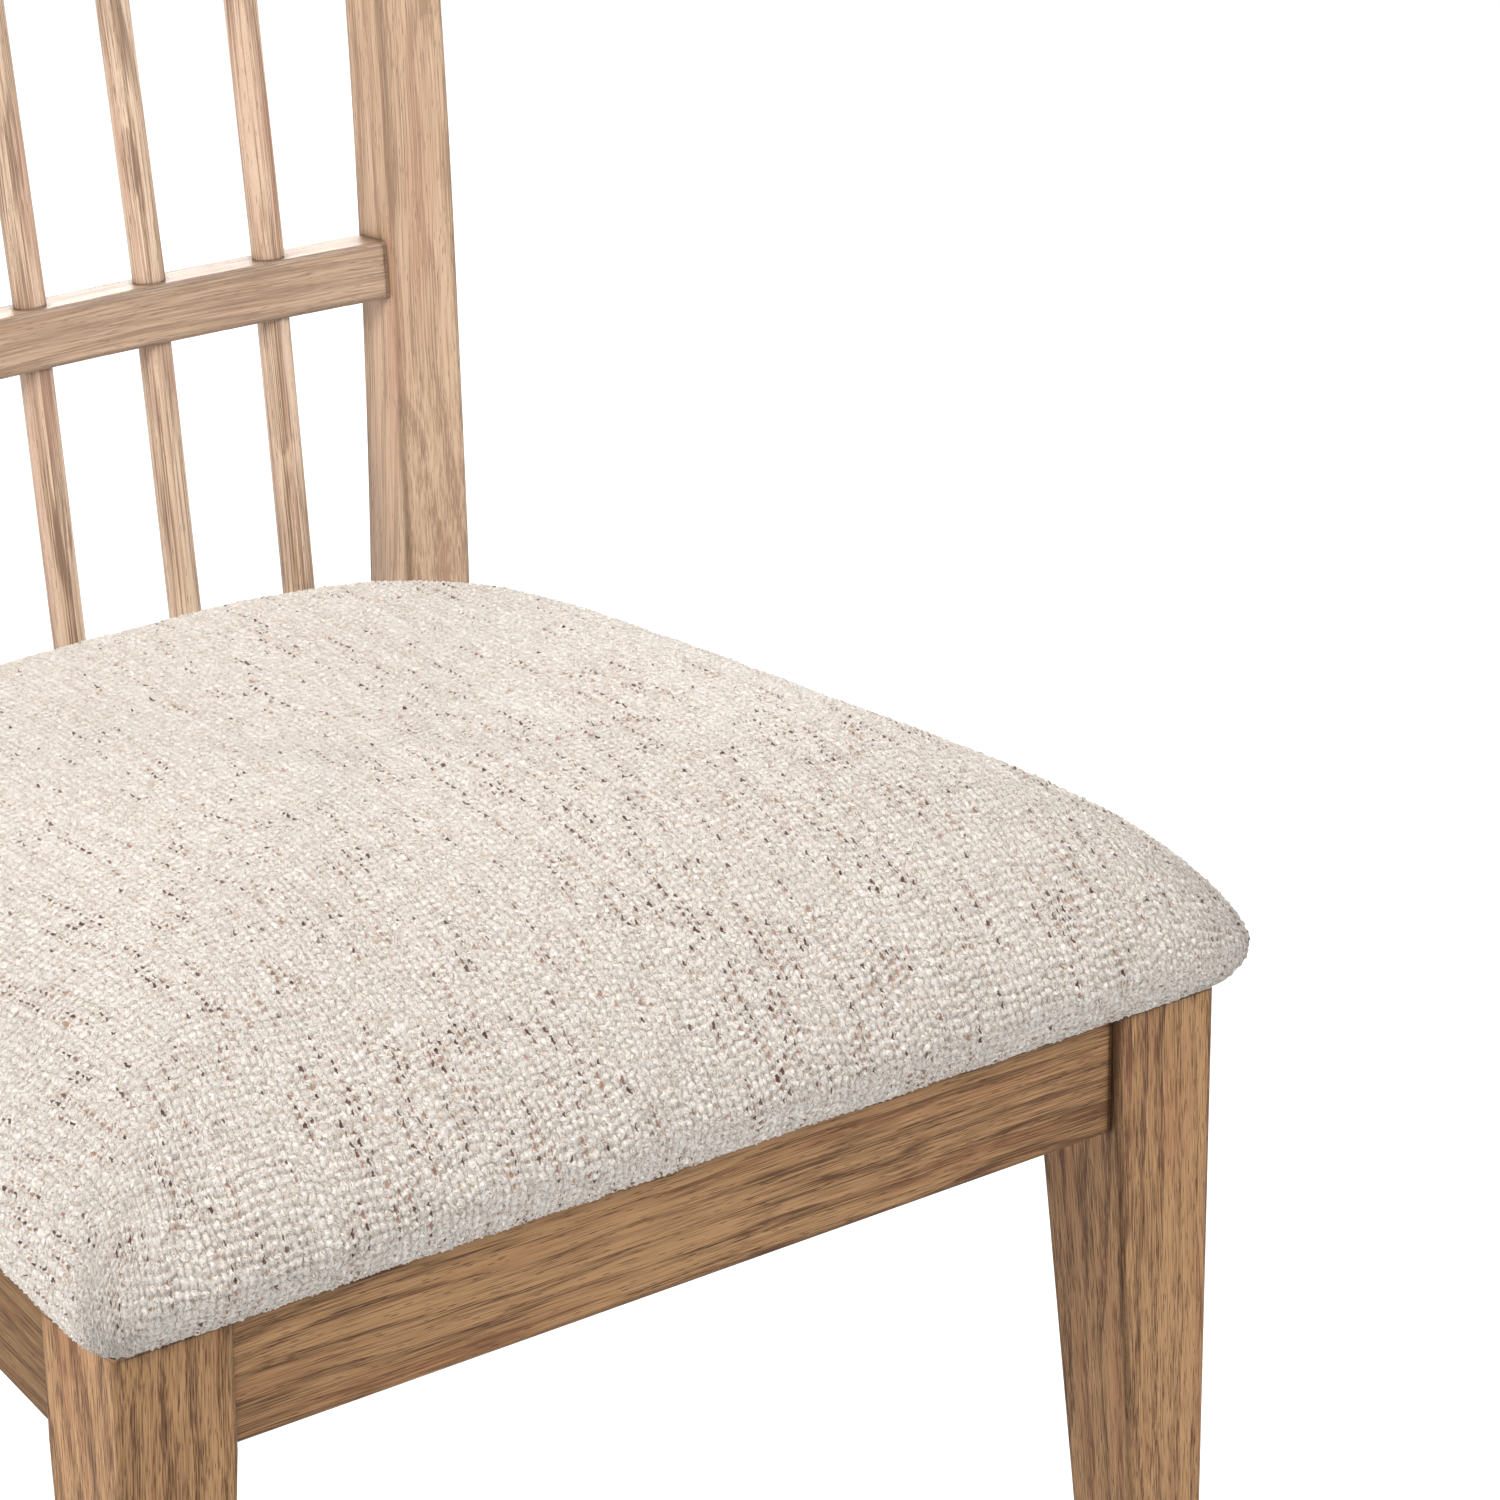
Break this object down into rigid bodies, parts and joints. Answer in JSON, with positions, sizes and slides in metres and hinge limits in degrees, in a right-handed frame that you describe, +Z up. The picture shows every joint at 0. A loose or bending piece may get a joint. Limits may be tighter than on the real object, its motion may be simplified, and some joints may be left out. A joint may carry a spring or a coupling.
{
  "type": "upholstered dining chair",
  "caption": "Wooden dining side chair with an upholstered seat pad, tapered front legs and a raked spindle back with a mid rail and a bowed crest rail.",
  "frame": {"origin": "on the floor, under the middle of the chair's bounding box", "axes": "+Z up, +Y towards the back of the chair, +X to the right of a viewer who stands in front"},
  "size_m": [0.55, 0.56, 0.96],
  "materials": {
    "seat_frame_wood": "satin",
    "back_wood": "satin",
    "block_wood": "matte",
    "plywood": "matte",
    "cover_fabric": "matte",
    "foam": "matte",
    "dust_cloth": "matte",
    "zinc_screw": "satin",
    "glide_nylon": "satin"
  },
  "bodies": {
    "root": {"front_apron": "seat_frame_wood", "left_side_apron": "seat_frame_wood", "right_side_apron": "seat_frame_wood", "front_left_leg": "seat_frame_wood", "front_right_leg": "seat_frame_wood", "rear_left_leg": "back_wood", "rear_right_leg": "back_wood", "rear_apron": "back_wood", "lower_back_rail": "back_wood", "crest_rail": "back_wood", "lower_spindle_1": "back_wood", "lower_spindle_2": "back_wood", "lower_spindle_3": "back_wood", "lower_spindle_4": "back_wood", "lower_spindle_5": "back_wood", "upper_spindle_1": "back_wood", "upper_spindle_2": "back_wood", "upper_spindle_3": "back_wood", "upper_spindle_4": "back_wood", "upper_spindle_5": "back_wood", "front_left_corner_block": "block_wood", "front_right_corner_block": "block_wood", "rear_left_corner_block": "block_wood", "rear_right_corner_block": "block_wood", "front_apron_dowels": "block_wood", "side_apron_dowels": "block_wood", "rear_apron_dowels": "block_wood", "back_rail_dowels": "block_wood", "seat_board": "plywood", "seat_cover": "cover_fabric", "seat_foam": "foam", "dust_cover": "dust_cloth", "corner_block_screws": "zinc_screw", "seat_screws": "zinc_screw", "front_left_glide": "glide_nylon", "front_right_glide": "glide_nylon", "rear_left_glide": "glide_nylon", "rear_right_glide": "glide_nylon"}
  },
  "joints": []
}
